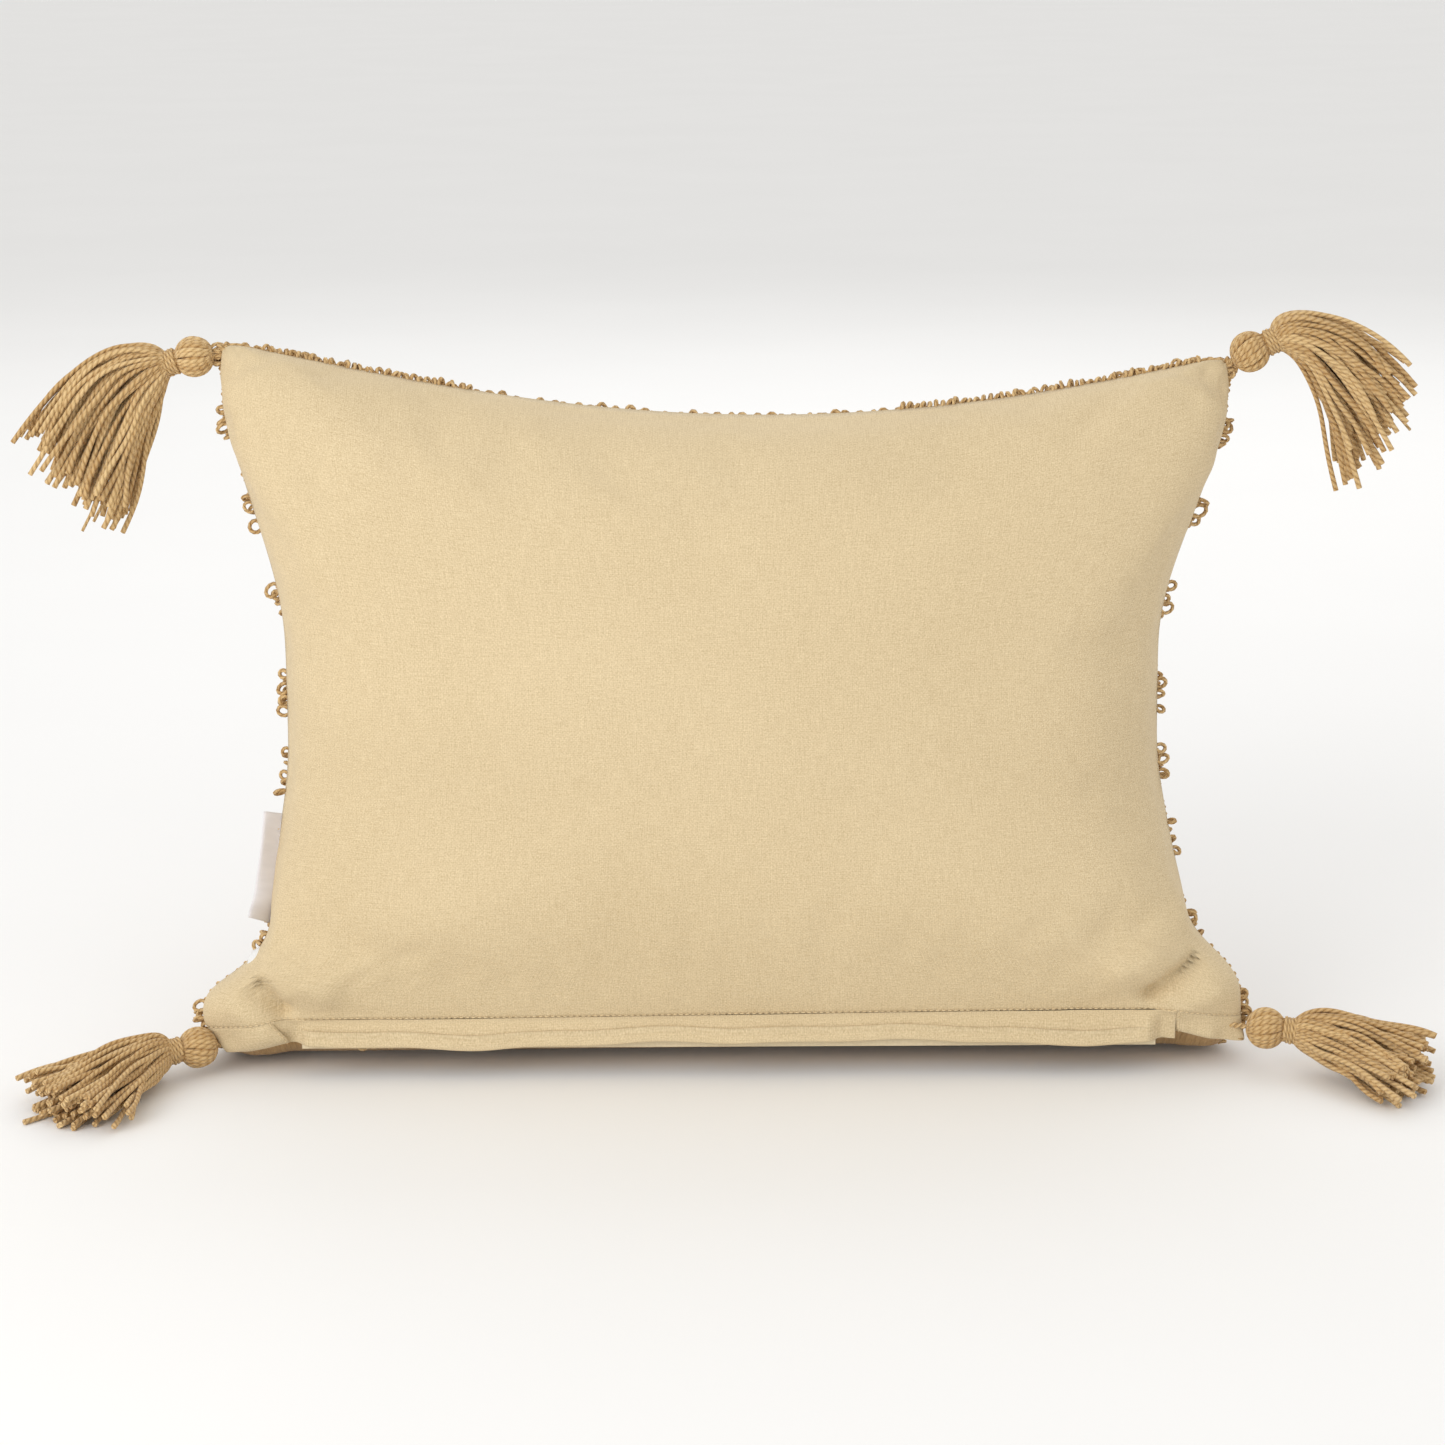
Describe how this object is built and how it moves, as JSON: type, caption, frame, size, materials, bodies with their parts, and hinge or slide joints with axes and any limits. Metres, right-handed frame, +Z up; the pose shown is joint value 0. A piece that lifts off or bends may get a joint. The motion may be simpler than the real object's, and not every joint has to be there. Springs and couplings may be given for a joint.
{
  "type": "throw pillow",
  "caption": "Lumbar throw pillow with a plain woven back, a tufted yarn front, a zip under a flap, a soft insert and corner tassels.",
  "frame": {"origin": "on the floor below the middle of the pillow, in the flat face it stands on", "axes": "+X along the pillow's long edge, to the right as its plain back is faced; +Y from the plain back to the tufted front; +Z up"},
  "size_m": [0.7389, 0.2188, 0.3712],
  "materials": {
    "woven_cloth": "plain-woven cotton, cream",
    "tufted_ground": "heavy woven ground, tan",
    "yarn": "thick plied yarn, tan",
    "insert_cloth": "plain white cloth",
    "fibre_fill": "loose white fibre",
    "zip_tape": "woven tape, cream",
    "zip_coil": "moulded coil, cream",
    "zip_metal": "pale plated",
    "label_satin": "satin, blank"
  },
  "bodies": {
    "cover": {"back_panel": "woven_cloth", "band_end_left": "woven_cloth", "band_end_right": "woven_cloth", "front_ground": "tufted_ground", "front_pile": "yarn", "insert_back": "insert_cloth", "insert_front": "insert_cloth", "insert_fill": "fibre_fill", "zip_tape_upper": "zip_tape", "zip_tape_lower": "zip_tape", "zip_coil_upper": "zip_coil", "zip_coil_lower": "zip_coil", "zip_stop_left": "zip_metal", "zip_stop_right": "zip_metal"},
    "flap": {"flap": "woven_cloth"},
    "zip_slider": {"zip_slider": "zip_metal"},
    "zip_pull": {"zip_pull": "zip_metal"},
    "side_label": {"side_label": "label_satin"},
    "tassel_top_left": {"tassel_cord_top_left": "yarn", "tassel_head_top_left": "yarn", "tassel_neck_top_left": "yarn", "tassel_skirt_top_left": "yarn"},
    "tassel_top_right": {"tassel_cord_top_right": "yarn", "tassel_head_top_right": "yarn", "tassel_neck_top_right": "yarn", "tassel_skirt_top_right": "yarn"},
    "tassel_bottom_left": {"tassel_cord_bottom_left": "yarn", "tassel_head_bottom_left": "yarn", "tassel_neck_bottom_left": "yarn", "tassel_skirt_bottom_left": "yarn"},
    "tassel_bottom_right": {"tassel_cord_bottom_right": "yarn", "tassel_head_bottom_right": "yarn", "tassel_neck_bottom_right": "yarn", "tassel_skirt_bottom_right": "yarn"}
  },
  "joints": [
    {"name": "flap_lift", "type": "hinge", "parent": "cover", "child": "flap", "pos_m": [0, -0.05843, 0.02724], "axis": [-1, 0, 0], "range_deg": [0, 120]},
    {"name": "zip_slide", "type": "slide", "parent": "cover", "child": "zip_slider", "axis": [-1, 0, 0], "range_m": [0, 0.409]},
    {"name": "pull_flip", "type": "hinge", "parent": "zip_slider", "child": "zip_pull", "pos_m": [0.20465, -0.05458, 0.021], "axis": [0, 0, 1], "range_deg": [0, 8]},
    {"name": "label_turn", "type": "hinge", "parent": "cover", "child": "side_label", "pos_m": [-0.23736, -0.00704, 0.09703], "axis": [0.1709, 0.3156, 0.9334], "range_deg": [-20, 40]},
    {"name": "tassel_top_left_swing", "type": "hinge", "parent": "cover", "child": "tassel_top_left", "pos_m": [-0.2582, 0.01845, 0.366], "axis": [-0.0698, 0.9976, 0], "range_deg": [-20, 60]},
    {"name": "tassel_top_right_swing", "type": "hinge", "parent": "cover", "child": "tassel_top_right", "pos_m": [0.2582, 0.01845, 0.366], "axis": [-0.0698, -0.9976, 0], "range_deg": [-45, 60]},
    {"name": "tassel_bottom_left_swing", "type": "hinge", "parent": "cover", "child": "tassel_bottom_left", "pos_m": [-0.2582, -0.04821, 0.0108], "axis": [-0.5299, 0.848, 0], "range_deg": [0, 60]},
    {"name": "tassel_bottom_right_swing", "type": "hinge", "parent": "cover", "child": "tassel_bottom_right", "pos_m": [0.2582, -0.04821, 0.0108], "axis": [-0.2419, -0.9703, 0], "range_deg": [0, 60]}
  ]
}
